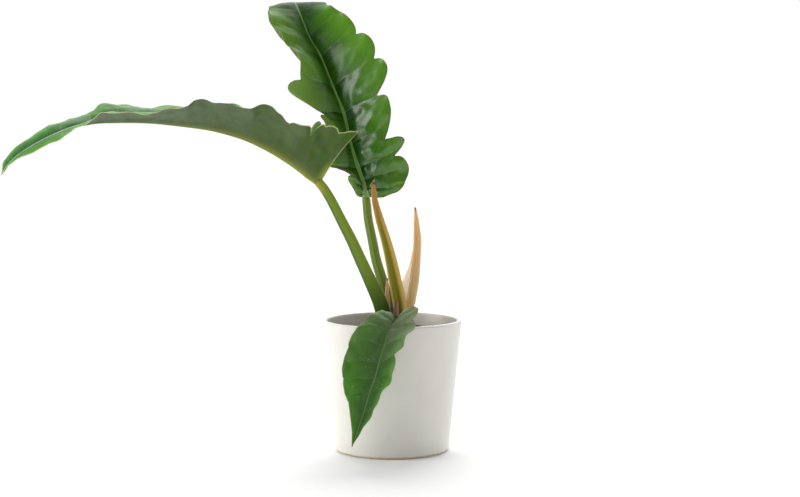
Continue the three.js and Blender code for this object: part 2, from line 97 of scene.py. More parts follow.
class Finish:
    """A material with one Principled shader. What is the same all over is set on the shader itself."""

    def __init__(self, name, **constants):
        self.material = bpy.data.materials.new(name)
        self.material.use_nodes = True
        self.tree = self.material.node_tree
        self.shader = self.tree.nodes["Principled BSDF"]
        self.feed(self.shader, {key.replace("_", " "): value for key, value in constants.items()})

    def feed(self, node, inputs):
        """Links each named or numbered input to a Value, or sets it to a plain number, colour or vector."""
        for key, value in inputs.items():
            if isinstance(value, Value):
                self.tree.links.new(value.socket, node.inputs[key])
            else:
                node.inputs[key].default_value = value

    def node(self, kind, settings, inputs, output=0):
        """Adds a node of that kind, applies its settings, then feeds its inputs, and gives one output."""
        node = self.tree.nodes.new("ShaderNode" + kind)
        for key, value in settings.items():
            setattr(node, key, value)
        self.feed(node, inputs)
        return Value(self, node.outputs[output])

    def place(self):
        return self.node("TexCoord", {}, {}, output="Object")

    def mark(self, name):
        return self.node("Attribute", {"attribute_name": name}, {}, output="Fac")

    def noise(self, size, detail=2, vector=None):
        """Soft random patches from 0 to 1, about size millimetres across, or across one unit of vector."""
        scale = 1000 / size if vector is None else 1 / size
        inputs = {"Vector": vector or self.place(), "Scale": scale, "Detail": detail}
        return self.node("TexNoise", {}, inputs)

    def mix(self, factor, first, second):
        return self.node("Mix", {"data_type": "RGBA"}, {0: factor, 6: first, 7: second}, output=2)

    def relief(self, height):
        """Bumps of that height in millimetres."""
        self.feed(self.shader, {"Normal": self.node("Bump", {}, {"Distance": 0.001, "Height": height})})


def rise(value, low, high):
    """0 up to low, 1 from high, and a smooth step between."""
    inputs = {"Value": value, "From Min": low, "From Max": high}
    return value.finish.node("MapRange", {"interpolation_type": "SMOOTHSTEP"}, inputs)


def paint(code):
    """The linear colour of a paint given as six hex digits."""
    share = np.array([int(code[k:k + 2], 16) for k in (0, 2, 4)]) / 255
    linear = np.where(share <= 0.04045, share / 12.92, ((share + 0.055) / 1.055) ** 2.4)
    return (*linear.tolist(), 1.0)


def loft(name, rings, finish, replaces=(), marks=None):
    """A closed skin through rings of points, an array of ring by point by xyz. Each ring is joined to the
    next, and a fan from its middle closes the first and the last. marks give named values to the points. If
    the volume inside comes out negative, the faces are turned round."""
    count, around = rings.shape[:2]
    ring = np.arange(count * around).reshape(count, around)
    after = np.roll(ring, -1, axis=1)
    points = np.concatenate([rings.reshape(-1, 3), rings[[0, -1]].mean(axis=1)]) / 1000
    quads = np.stack([ring[:-1], after[:-1], after[1:], ring[1:]], axis=-1).reshape(-1, 4)
    middle = np.full(around, count * around)
    fans = np.concatenate([
        np.stack([after[0], ring[0], middle], axis=-1),
        np.stack([ring[-1], after[-1], middle + 1], axis=-1),
    ])
    triangles = np.concatenate([quads[:, [0, 1, 2]], quads[:, [0, 2, 3]], fans])
    a, b, c = (points[triangles[:, k]] for k in range(3))
    if np.sum(a * np.cross(b, c)) < 0:
        quads = quads[:, ::-1]
        fans = fans[:, ::-1]
    values = {
        key: np.append(value.ravel(), value[[0, -1]].mean(axis=1))
        for key, value in (marks or {}).items()
    }
    piece(name, points, quads.tolist() + fans.tolist(), finish, replaces, values)


def piece(name, points, faces, finish, replaces=(), values=None):
    """A smooth mesh from points in metres, riding on the root body, with its finish and slot. values are
    the marks, one number for each point under each name."""
    mesh = bpy.data.meshes.new(name)
    mesh.from_pydata(points.tolist(), [], faces)
    mesh.polygons.foreach_set("use_smooth", np.ones(len(faces), bool))
    for key, value in (values or {}).items():
        mesh.attributes.new(key, "FLOAT", "POINT").data.foreach_set("value", value.astype(np.float32))
    mesh.materials.append(finish.material)
    made = bpy.data.objects.new(name, mesh)
    bpy.context.scene.collection.objects.link(made)
    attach(made, "root")
    if replaces:
        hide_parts(*replaces)


def turned(profile, sides):
    """Rings of a profile of radius and height, turned round the Z axis: x and y are the radius times the
    cosine and the sine of the angle."""
    radius, height = np.asarray(profile, float).T[..., None]
    angle = 2 * np.pi * np.arange(sides) / sides
    return np.stack([radius * np.cos(angle), radius * np.sin(angle), height + 0 * angle], axis=-1)


def quarter(centre, radius, start, end, steps=8):
    """Points of a round corner in the profile's plane: the centre plus the radius times the cosine and the
    sine of an angle, which goes from start to end in degrees."""
    angle = np.radians(np.linspace(start, end, steps))
    return np.stack([centre[0] + radius * np.cos(angle), centre[1] + radius * np.sin(angle)], axis=-1)


def pot_side(height):
    """The outer radius, which grows evenly from the foot to the rim."""
    return FOOT_RADIUS + (RIM_RADIUS - FOOT_RADIUS) * height / POT_HEIGHT


lip = WALL / 2
side_heights = np.linspace(FOOT_ROUND + PAST_ROUND, POT_HEIGHT - lip - PAST_ROUND, 24)
inside_heights = side_heights[side_heights > POT_FLOOR + FOOT_ROUND][::-1]
pot_profile = np.concatenate([
    np.stack([np.linspace(INNERMOST, FOOT_RADIUS - FOOT_ROUND - 0.5, 8), np.zeros(8)], axis=-1),
    quarter((pot_side(FOOT_ROUND) - FOOT_ROUND, FOOT_ROUND), FOOT_ROUND, -85, 0),
    np.stack([pot_side(side_heights), side_heights], axis=-1),
    quarter((pot_side(POT_HEIGHT - lip) - lip, POT_HEIGHT - lip), lip, 0, 180, 14),
    np.stack([pot_side(inside_heights) - WALL, inside_heights], axis=-1),
    quarter((pot_side(POT_FLOOR) - WALL - FOOT_ROUND, POT_FLOOR + FOOT_ROUND), FOOT_ROUND, 0, -85),
    [(INNERMOST, POT_FLOOR)],
])

glaze = Finish("satin_white_glaze", Coat_Weight=0.15, Coat_Roughness=0.2)
height = glaze.node("SeparateXYZ", {}, {"Vector": glaze.place()}, output="Z")
above_foot = height + glaze.noise(9) * (GLAZE_WANDERS / 1000)
bare = 1 - rise(above_foot, BARE_CLAY / 1000, (BARE_CLAY + GLAZE_EDGE) / 1000)
glaze_tone = glaze.mix(glaze.noise(35), paint("dfdcd3"), paint("e8e6df"))
glaze.feed(glaze.shader, {
    "Base Color": glaze.mix(bare, glaze_tone, paint("cdbb9f")),
    "Roughness": 0.30 + glaze.noise(14) * 0.12 + bare * 0.4,
})
glaze.relief(glaze.noise(3) * 0.05 + glaze.noise(22) * 0.12)
loft("pot_shell", turned(pot_profile, POT_SIDES), glaze, ["pot"])

# Soil: dark peat with bark in it, filled in up to a finger's width below the rim and left lumpy. Loose
# crumbs of peat, chips of bark and a few white grains of perlite lie on it.
SOIL_LEVEL = 117
SOIL_GAP = 0.3
SOIL_SIDES = 240
SOIL_RINGS = 72
WAVES = 20
COMMON_PEAK = 1.6
CROWN_X = 2
CROWN_RADIUS = 21
WALL_FADE = 3
CRUMBS = 1500
CRUMB_LIFT = 0.35
CRUMB_TILT = 0.35
BARK_SHARE = 0.28
BARK_SIZES = (1.8, 4.2)
BARK_BREADTH = 0.6
BARK_FLATNESS = 0.35
PEAT_SIZES = (0.7, 1.9)
PEAT_BREADTH = 0.9
PEAT_FLATNESS = 0.8
PERLITE_SHARE = 0.035
soil_radius = pot_side(SOIL_LEVEL) - WALL - SOIL_GAP


def waves(points, size, seed):
    """A smooth random value for each point, about from -1 to 1: the sum of sine waves about size long, in
    random directions and with random starts, divided by the height that such a sum commonly reaches."""
    random = np.random.default_rng(seed)
    directions = random.normal(size=(WAVES, 3))
    directions /= np.linalg.norm(directions, axis=1, keepdims=True)
    turns = directions * (2 * np.pi / size) * random.uniform(0.7, 1.5, (WAVES, 1))
    starts = random.uniform(0, 2 * np.pi, WAVES)
    return np.sin(points @ turns.T + starts).sum(axis=-1) * math.sqrt(2 / WAVES) / COMMON_PEAK


def soil_height(x, y):
    """The soil's level, plus long low lumps, a sine across times a cosine along and a slanting sine, plus
    crumbly waves of two sizes. All of them die out evenly towards the pot's wall."""
    lumps = np.sin(0.21 * x + 0.4) * np.cos(0.17 * y) + 0.5 * np.sin(0.43 * y - 0.31 * x)
    flat = np.stack([x, y, 0 * x], axis=-1)
    crumbly = 0.9 * waves(flat, 7, 1) + 0.5 * waves(flat, 3.2, 2)
    inside = np.clip((soil_radius - np.hypot(x, y)) / WALL_FADE, 0, 1)
    return SOIL_LEVEL + (1.5 * lumps + crumbly) * inside


soil_foot = POT_FLOOR + SOIL_GAP
under_surface = [(INNERMOST, soil_foot), (pot_side(POT_FLOOR) - WALL - FOOT_ROUND, soil_foot)]
under_surface += [(pot_side(z) - WALL - SOIL_GAP, z) for z in (soil_foot + FOOT_ROUND, SOIL_LEVEL - 2)]
surface = [(radius, SOIL_LEVEL) for radius in np.linspace(soil_radius, 2, SOIL_RINGS)]
soil_rings = turned(under_surface + surface, SOIL_SIDES)
lumpy = soil_rings[len(under_surface):]
lumpy[..., 2] = soil_height(lumpy[..., 0], lumpy[..., 1])

peat = Finish("damp_peat", Roughness=0.94)
clumps = rise(peat.noise(2.5, 4), 0.35, 0.7)
peat.feed(peat.shader, {"Base Color": peat.mix(clumps, paint("1f150e"), paint("4b3626"))})
peat.relief(peat.noise(1.2, 4) * 0.9)
loft("soil_bed", soil_rings, peat, ["soil"])

# Each crumb is a ball of twelve corners, which are pushed in and out at random. It is stretched, tilted and
# spun about the vertical, and lies on the soil with about a third of its height sunk in.
random = np.random.default_rng(7)
golden = (1 + math.sqrt(5)) / 2
icosahedron = np.array([
    (-1, golden, 0), (1, golden, 0), (-1, -golden, 0), (1, -golden, 0),
    (0, -1, golden), (0, 1, golden), (0, -1, -golden), (0, 1, -golden),
    (golden, 0, -1), (golden, 0, 1), (-golden, 0, -1), (-golden, 0, 1),
]) / math.sqrt(1 + golden ** 2)
icosahedron_faces = np.array([
    (0, 11, 5), (0, 5, 1), (0, 1, 7), (0, 7, 10), (0, 10, 11), (1, 5, 9), (5, 11, 4), (11, 10, 2),
    (10, 7, 6), (7, 1, 8), (3, 9, 4), (3, 4, 2), (3, 2, 6), (3, 6, 8), (3, 8, 9), (4, 9, 5), (2, 4, 11),
    (6, 2, 10), (8, 6, 7), (9, 8, 1),
])
reach_out = (soil_radius - 2) * np.sqrt(random.uniform(0, 1, CRUMBS))
bearing = random.uniform(0, 2 * np.pi, CRUMBS)
crumb_x = reach_out * np.cos(bearing)
crumb_y = reach_out * np.sin(bearing)
open_soil = np.hypot(crumb_x - CROWN_X, crumb_y) > CROWN_RADIUS - 1
crumb_x = crumb_x[open_soil]
crumb_y = crumb_y[open_soil]
kind = random.uniform(0, 1, len(crumb_x))
bark = kind > 1 - BARK_SHARE
perlite = kind < PERLITE_SHARE
size = np.where(bark, random.uniform(*BARK_SIZES, len(kind)), random.uniform(*PEAT_SIZES, len(kind)))
breadth = np.where(bark, BARK_BREADTH, PEAT_BREADTH)
flatness = np.where(bark, BARK_FLATNESS, PEAT_FLATNESS)
stretch = np.stack([size, size * breadth, size * flatness], axis=-1)
knobs = icosahedron * random.uniform(0.75, 1.15, (len(kind), 12, 1)) * stretch[:, None, :]
spin = random.uniform(0, 2 * np.pi, len(kind))[:, None]
tilt = random.normal(0, CRUMB_TILT, len(kind))[:, None]
lean_x = knobs[..., 0] * np.cos(tilt) + knobs[..., 2] * np.sin(tilt)
lean_z = knobs[..., 2] * np.cos(tilt) - knobs[..., 0] * np.sin(tilt)
crumb_z = soil_height(crumb_x, crumb_y) + CRUMB_LIFT * size * flatness
crumbs = np.stack([
    crumb_x[:, None] + lean_x * np.cos(spin) - knobs[..., 1] * np.sin(spin),
    crumb_y[:, None] + lean_x * np.sin(spin) + knobs[..., 1] * np.cos(spin),
    crumb_z[:, None] + lean_z,
], axis=-1)
crumb_faces = (icosahedron_faces + 12 * np.arange(len(kind))[:, None, None]).reshape(-1, 3)
tone = np.repeat(np.where(perlite, 1.0, np.where(bark, 0.5, 0.0)), 12)

crumb_finish = Finish("bark_and_perlite", Roughness=0.9)
tone_mark = crumb_finish.mark("tone")
peat_or_bark = crumb_finish.mix(rise(tone_mark, 0.2, 0.4), paint("2a1d14"), paint("6a4a31"))
with_perlite = crumb_finish.mix(rise(tone_mark, 0.7, 0.9), peat_or_bark, paint("d8d5cc"))
darker_crumb = crumb_finish.mix(0.45, with_perlite, paint("1c130d"))
crumb_finish.feed(crumb_finish.shader, {
    "Base Color": crumb_finish.mix(rise(crumb_finish.noise(1.6, 3), 0.4, 0.7), with_perlite, darker_crumb),
})
crumb_finish.relief(crumb_finish.noise(0.8, 3) * 0.25)
piece(
    "soil_crumbs", crumbs.reshape(-1, 3) / 1000, crumb_faces.tolist(), crumb_finish,
    values={"tone": tone},
)

# Crown: the short stem that all stalks grow from, half sunk in the soil. It is ringed by the scars of old
# leaves, and its olive skin has patches of brown cork.
crown_low, crown_high = (np.array(corner) * 1000 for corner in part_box("crown"))
CROWN_RINGS = 90
CROWN_SIDES = 160
DOME_SHARE = 0.45
NARROW_SHARE = 0.35
SCARS = 9
SCAR_HEIGHT = 0.35


def crown_rings():
    """A turned barrel. Over its top share the radius is a dome's, the root of 1 less the fourth power of the
    way up, and over its lowest share it narrows to the root of 1 less three quarters of the square of the
    way down. A sine of the height makes the scar rings, and waves make it uneven all round."""
    height = np.linspace(0, 1, CROWN_RINGS)
    dome = np.sqrt(1 - ((height - 1 + DOME_SHARE) / DOME_SHARE).clip(0, 1) ** 4)
    foot = np.sqrt(1 - ((NARROW_SHARE - height) / NARROW_SHARE).clip(0, 1) ** 2 * 0.75)
    rings = turned(np.stack([np.maximum(CROWN_RADIUS * dome * foot, 0.4), height], axis=-1), CROWN_SIDES)
    bearing = 2 * np.pi * np.arange(CROWN_SIDES) / CROWN_SIDES
    scars = SCAR_HEIGHT * np.sin(2 * np.pi * SCARS * height[:, None] + 0.5 * np.sin(3 * bearing))
    rings[..., 2] = crown_low[2] + rings[..., 2] * (crown_high[2] - crown_low[2])
    uneven = 1 + (0.5 * waves(rings, 12, 11) + scars - 0.6) / CROWN_RADIUS
    rings[..., :2] *= uneven[..., None]
    rings[..., 0] += CROWN_X
    return rings


cork = Finish("corky_stem", Roughness=0.72)
cork.feed(cork.shader, {
    "Base Color": cork.mix(rise(cork.noise(6, 4), 0.4, 0.62), paint("6f7238"), paint("5a4327")),
})
cork.relief(cork.noise(1.5, 4) * 0.5)
loft("crown_stem", crown_rings(), cork, ["crown"])

# Sheaths: the leaves that wrap each new leaf. The young one is still rolled up, green along its keel and tan
# beside it. The bud and a remnant, dried so thin that light passes through, stand at its foot, and all three
# grow out of the crown.
STEM_RINGS = 200
STEM_SIDES = 96
PATH_SAMPLES = 500
PATH_STEP = 0.01
HUSK_LIGHT_DEPTH = 3
FRONT = (0, -1, 0)
RIGHT = (1, 0, 0)
UP = (0, 0, 1)


def through(knots, at):
    """The smooth curve through the knots, where at is 0 on the first knot and 1 on the second. Between two
    knots it is the cubic whose slope at each of them is half the way between the knots on both sides of
    it."""
    knots = np.asarray(knots, float)
    padded = np.concatenate([[2 * knots[0] - knots[1]], knots, [2 * knots[-1] - knots[-2]]])
    at = np.clip(at, 0, len(knots) - 1)
    start = np.minimum(at.astype(int), len(knots) - 2)
    share = (at - start)[..., None]
    before, near, far, after = (padded[start + k] for k in range(4))
    slope = (far - before) / 2
    next_slope = (after - near) / 2
    square = 3 * (far - near) - 2 * slope - next_slope
    cube = 2 * (near - far) + slope + next_slope
    return near + share * slope + share ** 2 * square + share ** 3 * cube


def knots_at(knots, share):
    """The value at share of a broken line through pairs of share and value."""
    shares, values = np.asarray(knots, float).T
    return np.interp(share, shares, values)


def stem_frame(path, facing, share):
    """For each share of the path's length: the point there, the direction to the side, which is square to
    the path and to facing, and the one faced, which is square to the path and to the side."""
    fine = np.linspace(0, len(path) - 1, PATH_SAMPLES)
    steps = np.linalg.norm(np.diff(through(path, fine), axis=0), axis=1)
    lengths = np.concatenate([[0], np.cumsum(steps)])
    at = np.interp(share * lengths[-1], lengths, fine)
    tangent = through(path, at + PATH_STEP) - through(path, at - PATH_STEP)
    tangent /= np.linalg.norm(tangent, axis=-1, keepdims=True)
    side = np.cross(tangent, facing)
    side /= np.linalg.norm(side, axis=-1, keepdims=True)
    return through(path, at), side, np.cross(side, tangent)


def stem(name, path, facing, across, deep, finish, keel=0, ribs=0, rib_height=0, round_end=0):
    """A stalk or sheath. Its section is an ellipse, whose half sizes across and deep are given along the
    path, plus fine ribs, a cosine of ribs times the angle, and a keel, which makes it deeper where it faces.
    Over the share round_end of the length the tip is rounded off. The marks are how far along, to the side
    and to the front a point lies."""
    share = np.linspace(0, 1, STEM_RINGS)
    centre, side, face = stem_frame(path, facing, share)
    angle = 2 * np.pi * np.arange(STEM_SIDES) / STEM_SIDES
    ridge = 1 + keel * np.maximum(0, -np.sin(angle)) ** 6
    ribbed = rib_height * np.cos(ribs * angle) * np.sin(np.pi * share[:, None]) ** 0.3
    tip = np.sqrt(np.clip(1 - ((share - 1 + round_end) / max(round_end, 1e-6)).clip(0, 1) ** 2, 0.002, 1))
    half_width = (knots_at(across, share) * tip)[:, None] + ribbed
    half_depth = ((knots_at(deep, share) * tip)[:, None] + ribbed) * ridge
    rings = (
        centre[:, None]
        + side[:, None] * (half_width * np.cos(angle))[..., None]
        - face[:, None] * (half_depth * np.sin(angle))[..., None]
    )
    marks = {
        "along": share[:, None] + 0 * angle,
        "side": np.cos(angle) + 0 * share[:, None],
        "front": -np.sin(angle) + 0 * share[:, None],
    }
    loft(name, rings, finish, [name], marks)


def streaks(finish, fineness, length):
    """Soft lines from 0 to 1 that run along a stem: noise on the way round it and, drawn out, on the way
    up."""
    vector = finish.node("CombineXYZ", {}, {
        "X": finish.mark("side") * fineness,
        "Y": finish.mark("front") * fineness,
        "Z": finish.mark("along") * length,
    })
    return finish.noise(1, 3, vector)


young = Finish("rolled_young_sheath", Specular_IOR_Level=0.2)
young_lines = streaks(young, 7, 3)
green_edge = rise(young.mark("side") + young_lines * 0.3, -0.85, -0.4)
tan_side = rise(young.mark("side") + young_lines * 0.5 + young.mark("along") * 0.3, 0.45, 1.05)
green_side = green_edge * (1 - tan_side)
lined = young.mix(young_lines * 0.6, paint("cfa444"), paint("e6cc80"))
rolled = young.mix(green_side, lined, paint("787404"))
browner = rise(young.mark("along") + young_lines * 0.15, 0.72, 1.0)
aged = young.mix(browner * 0.8, rolled, paint("b4803e"))
tip_red = rise(young.mark("along"), 0.975, 0.995)
young.feed(young.shader, {
    "Base Color": young.mix(tip_red, aged, paint("9a3d2b")),
    "Roughness": 0.42 + young_lines * 0.2,
})
young.relief(young_lines * 0.25)
stem(
    "young_sheath",
    path=[
        (11, -5, 112), (10, -5, 126), (9, -5, 137), (7, -5, 152), (3, -6, 172), (-1, -7, 192), (-6, -8, 212),
        (-12, -9, 232), (-17, -10, 252), (-18.5, -10, 270),
    ],
    facing=FRONT,
    across=[(0, 6.2), (0.25, 6.8), (0.4, 6.3), (0.63, 5), (0.76, 4.2), (0.88, 3.1), (0.97, 2.1), (1, 1.2)],
    deep=[(0, 4.8), (0.25, 5), (0.63, 4), (0.88, 2.6), (0.97, 1.8), (1, 1)],
    finish=young, keel=0.22, ribs=18, rib_height=0.06, round_end=0.012,
)

husk = Finish(
    "dry_papery_sheath",
    Subsurface_Weight=0.6, Subsurface_Scale=HUSK_LIGHT_DEPTH / 1000, Subsurface_Radius=(1, 0.7, 0.5),
)
husk_lines = streaks(husk, 8, 3)
husk_tone = husk.mix(husk_lines, paint("e0b48a"), paint("f6dcc0"))
husk.feed(husk.shader, {
    "Base Color": husk.mix(rise(husk.mark("along"), 0.93, 1.0), husk_tone, paint("8a5236")),
    "Roughness": 0.6 + husk_lines * 0.15,
})
husk.relief(husk_lines * 0.3)
stem(
    "old_sheath",
    path=[
        (-4, 4, 112), (-5, 4, 126), (-5, 3.6, 136), (-5, 3.2, 146), (-5, 3, 156), (-5, 3, 166),
        (-4.5, 3, 173),
    ],
    facing=FRONT,
    across=[(0, 3), (0.6, 3), (0.8, 1.8), (1, 0.7)],
    deep=[(0, 0.8), (1, 0.6)],
    finish=husk, round_end=0.02,
)

bud_skin = Finish("brown_bud", Roughness=0.5)
bud_lines = streaks(bud_skin, 5, 4)
bud_tone = bud_skin.mix(bud_lines, paint("7a4a28"), paint("c99b62"))
bud_skin.feed(bud_skin.shader, {
    "Base Color": bud_skin.mix(rise(bud_skin.mark("side"), -0.4, 0.4), paint("4a2214"), bud_tone),
})
bud_skin.relief(bud_lines * 0.25)
stem(
    "bud",
    path=[(4, -13, 112), (4, -13, 125), (4, -13, 137), (4.5, -13, 146), (5, -12.8, 153)],
    facing=FRONT,
    across=[(0, 3), (0.7, 2.9), (0.9, 1.8), (1, 0.8)],
    deep=[(0, 2.2), (0.7, 2), (0.9, 1.4), (1, 0.7)],
    finish=bud_skin, keel=0.2, round_end=0.03,
)

# Dry sheath: the husk of the last leaf, dried to a thin tan boat that is open to the left and lets light
# through. Its back edge spreads into a pale wing low down, and its edges and its tip have dried darker. It
# grows out of the crown.
DRY_PATH = [
    (16, 4, 112), (16, 4, 126), (17, 4, 143), (19, 3.6, 151), (22, 3, 171), (24, 3, 191), (25, 4, 211),
    (24, 4, 231), (23, 4, 244),
]
DRY_ACROSS = [(0, 4.4), (0.25, 4.8), (0.45, 5.2), (0.6, 4.6), (0.75, 4.4), (0.9, 3), (1, 0.9)]
DRY_DEEP = [(0, 2.9), (0.4, 3.6), (0.75, 3), (0.9, 2.2), (1, 0.8)]
DRY_WING = [(0, 0), (0.25, 1), (0.42, 8), (0.6, 1.5), (0.7, 0), (1, 0)]
DRY_HOLLOW = [(0, 0.05), (0.2, 0.5), (0.45, 0.68), (0.75, 0.5), (0.9, 0.2), (1, 0.05)]
DRY_TURN = 2.6
DRY_COLUMNS = 60
DRY_RIBS = 14
DRY_RIB_HEIGHT = 0.012
DRY_LIGHT_DEPTH = 5


def dry_sheath_rings():
    """Rings of an outer arc, which runs a turn each way from the spine, and of the same arc drawn in by the
    hollow, run back. The back end of both is pushed out into the wing by the square of the way along the
    arc. Gives the rings and their marks."""
    share = np.linspace(0, 1, STEM_RINGS)
    centre, side, face = stem_frame(DRY_PATH, FRONT, share)
    turn = DRY_TURN * np.linspace(-1, 1, DRY_COLUMNS)
    angle = np.concatenate([turn, turn[::-1]])
    outer = np.concatenate([np.ones(DRY_COLUMNS), np.zeros(DRY_COLUMNS)])
    hollow = knots_at(DRY_HOLLOW, share)[:, None]
    scale = hollow + (1 - hollow) * outer
    wing = knots_at(DRY_WING, share)[:, None] * np.maximum(0, angle / DRY_TURN) ** 2
    ribbed = 1 + DRY_RIB_HEIGHT * np.cos(DRY_RIBS * angle)
    sideways = scale * ribbed * knots_at(DRY_ACROSS, share)[:, None] * np.cos(angle) - wing
    frontways = scale * ribbed * knots_at(DRY_DEEP, share)[:, None] * np.sin(angle)
    rings = centre[:, None] + side[:, None] * sideways[..., None] - face[:, None] * frontways[..., None]
    marks = {
        "along": share[:, None] + 0 * angle,
        "side": np.cos(angle) + 0 * share[:, None],
        "front": -np.sin(angle) + 0 * share[:, None],
        "edge": np.abs(angle) / DRY_TURN + 0 * share[:, None],
        "wing": wing,
    }
    return rings, marks


dry = Finish(
    "dried_husk", Specular_IOR_Level=0.3,
    Subsurface_Weight=1, Subsurface_Scale=DRY_LIGHT_DEPTH / 1000, Subsurface_Radius=(1, 0.8, 0.7),
)
dry_lines = streaks(dry, 9, 3)
dry_tone = dry.mix(rise(dry_lines, 0.3, 0.7), paint("e6ae74"), paint("fbd2a4"))
# Painted light: the low part is lightened where the young sheath and the stalks shade it.
dry_tone = dry.mix((1 - rise(dry.mark("along"), 0.25, 0.5)) * 0.6, dry_tone, paint("ffe0a6"))
wing = rise(dry.mark("wing"), 0.4, 3)
winged = dry.mix(wing, dry_tone, paint("ffe6dc"))
dry_rim = dry.mix(rise(dry.mark("edge"), 0.9, 1.0) * (1 - wing) * 0.6, winged, paint("a5603f"))
dry_rim = dry.mix(rise(dry.mark("side"), 0.9, 1.0) * 0.6, dry_rim, paint("a8664a"))
dry.feed(dry.shader, {
    "Base Color": dry.mix(rise(dry.mark("along"), 0.95, 1.0), dry_rim, paint("8f4a2c")),
    "Roughness": 0.55 + dry_lines * 0.2,
})
dry.relief(dry_lines * 0.35)
dry_rings, dry_marks = dry_sheath_rings()
loft("dry_sheath_boat", dry_rings, dry, ["dry_sheath"], dry_marks)

# Upright leaf: the youngest full leaf, on a ribbed stalk. Its blade is glossy, pleated along its sunken side
# veins and cut into round lobes, leans a little to the left, and folds over backwards at the top.
BLADE_THICKNESS = 0.7
MARGIN_THICKNESS = 0.45
MARGIN_WIDTH = 4
UNEVEN_SIZE = 14
ROWS_PER_VEIN = 24
ROW_STEP = 0.02
TIP_GAP = 0.03
RIB_COLUMNS = 7
BLADE_COLUMNS = 26


def unit(vectors):
    """The vectors divided by their lengths."""
    return vectors / np.linalg.norm(vectors, axis=-1, keepdims=True)


def distance(points, line):
    """How far each point is from the nearest point of a line: the root of both squares less twice their
    product."""
    squares = np.sum(points ** 2, axis=-1, keepdims=True) + np.sum(line ** 2, axis=-1)
    return np.sqrt(np.maximum(0, (squares - 2 * points @ line.T).min(axis=-1)))


def reach(notches, lean, row):
    """How far out a half of the blade goes, as a share of the way to its margin. Between two notches it is a
    lobe, a half round that leans to the tip by the power lean of the way along: 1 less the depth, which goes
    evenly from one notch's to the next one's, times 1 less the round."""
    rows, depths = np.asarray(notches, float).T
    place = np.clip(np.searchsorted(rows, row, side="right") - 1, 0, len(rows) - 2)
    share = np.clip((row - rows[place]) / (rows[place + 1] - rows[place]), 0, 1)
    half_round = np.sqrt(np.maximum(0, 1 - (2 * share ** lean - 1) ** 2))
    return 1 - np.interp(row, rows, depths) * (1 - half_round)


def half_blade(leaf, sign, row):
    """One half of the glossy face, from the midrib out. A point lies w of the way along the straight line
    from midrib to margin, and is lifted along the face's normal by three heights: an arch, 4 times w times
    1 less w; a swelling, that arch times a half wave between side veins to the power 0.7; and a ruffle at
    the margin, a whole wave between side veins times w to the fourth. The side veins lie where the vein mark
    is a whole number. They bow towards the stalk by the square of w times 1 less w, which 27 / 4 brings to 1
    where it is greatest."""
    half = leaf["left" if sign < 0 else "right"]
    midrib = [vein[0] for vein in leaf["veins"]]
    margin = [vein[1 if sign < 0 else 2] for vein in leaf["veins"]]

    def flat(t, w):
        """The point w of the way from midrib to margin in row t."""
        start = through(midrib, t)
        return start + (through(margin, t) - start) * w[..., None]

    def along(t, w):
        """The way from a step nearer to the stalk to a step nearer to the tip."""
        return flat(t + ROW_STEP, w) - flat(t - ROW_STEP, w)

    row = row[:, None]
    slant = knots_at(half["slant"], row)
    lobes = reach(half["notches"], knots_at(leaf["lean"], row), row)
    out = knots_at(leaf["spread"], row) * lobes
    whole_way = flat(row - slant * out, out) - flat(row, 0 * row)
    width = np.linalg.norm(np.cross(whole_way, unit(along(row, 0 * row))), axis=-1)
    rib = knots_at(leaf["rib"], row)
    share = np.minimum(0.8, rib / width)
    under_rib = share * np.linspace(0, 1, RIB_COLUMNS, endpoint=False)
    near_margin = 1 - 0.5 / np.maximum(width, 2)
    beside_rib = share + (near_margin - share) * np.linspace(0, 1, BLADE_COLUMNS)
    s = np.concatenate([under_rib, beside_rib, 1 + 0 * row], axis=1)
    w = s * out
    t = row - slant * w
    vein = t + knots_at(leaf["bow"], t) * 27 / 4 * w ** 2 * (1 - w)
    across = through(margin, t) - through(midrib, t)
    normal = unit(np.cross(sign * across, along(t, w)))
    arch = 4 * w * (1 - w)
    swelling = np.abs(np.sin(np.pi * vein)) ** 0.7 * arch
    ruffle = w ** 4 * np.sin(2 * np.pi * vein)
    lift = (
        knots_at(leaf["arch"], t) * arch
        + knots_at(leaf["swelling"], t) * swelling
        + knots_at(leaf["ruffle"], t) * ruffle
    )
    places = flat(t, w) + normal * lift[..., None]
    beside = s / share
    return {
        "places": places,
        "ridge": leaf["ridge"] * rib * np.maximum(0, 1 - (beside / 0.95) ** 2) ** 1.5,
        "depth": rib * np.sqrt(np.maximum(0, 1 - beside ** 2)),
        "vein": vein,
        "spacing": np.linalg.norm(along(t, w), axis=-1) / (2 * ROW_STEP),
        "out": w,
        "edge": distance(places, places[:, -1]),
        "rib": beside,
        "cut": 1 - lobes + 0 * w,
        "tint_and_sheen": knots_at(half["tint_and_sheen"], t) * (leaf["tint_inside"] + (1 - leaf["tint_inside"]) * w ** 2),
        "shadow": knots_at(half["shadow"], t),
        "side": sign + 0 * w,
        "line": knots_at(leaf["lines"], t),
        "pale": knots_at(leaf["pale"], t),
    }


